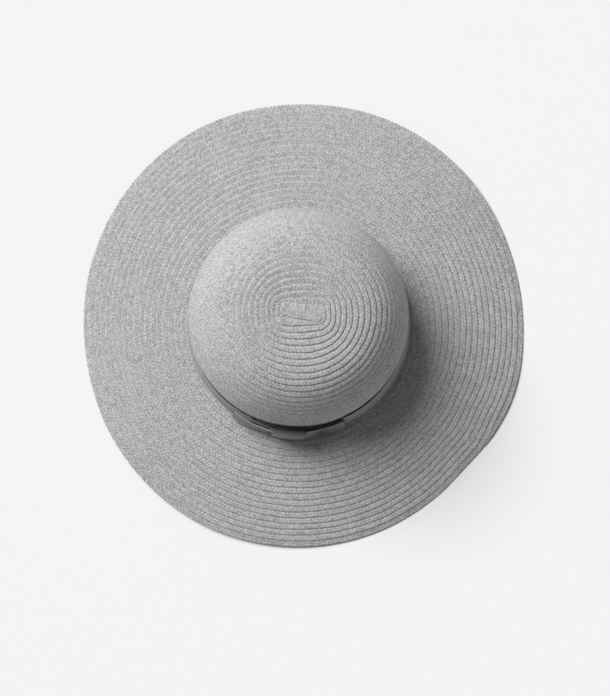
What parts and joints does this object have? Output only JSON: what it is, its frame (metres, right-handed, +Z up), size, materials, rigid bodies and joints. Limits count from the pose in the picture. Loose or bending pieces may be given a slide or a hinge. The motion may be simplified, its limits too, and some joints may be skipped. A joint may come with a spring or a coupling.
{
  "type": "woven sun hat",
  "caption": "Wide-brimmed sun hat of coiled straw braid with a domed crown, a gently drooping brim and a flat ribbon bow.",
  "frame": {"origin": "middle of the hat's outline, on the surface that the rim rests on", "axes": "+Z up through the crown, -Y towards the bow, +X to the right as seen from the bow's side"},
  "size_m": [0.3976, 0.4018, 0.1266],
  "materials": {
    "straw": "plaited paper straw, matt with a faint sheen on each strand",
    "ribbon": "ribbed grosgrain ribbon, dull satin"
  },
  "bodies": {
    "root": {"crown": "straw", "brim": "straw", "ribbon_band": "ribbon", "bow_knot": "ribbon", "bow_loop_left": "ribbon", "bow_loop_right": "ribbon"}
  },
  "joints": []
}
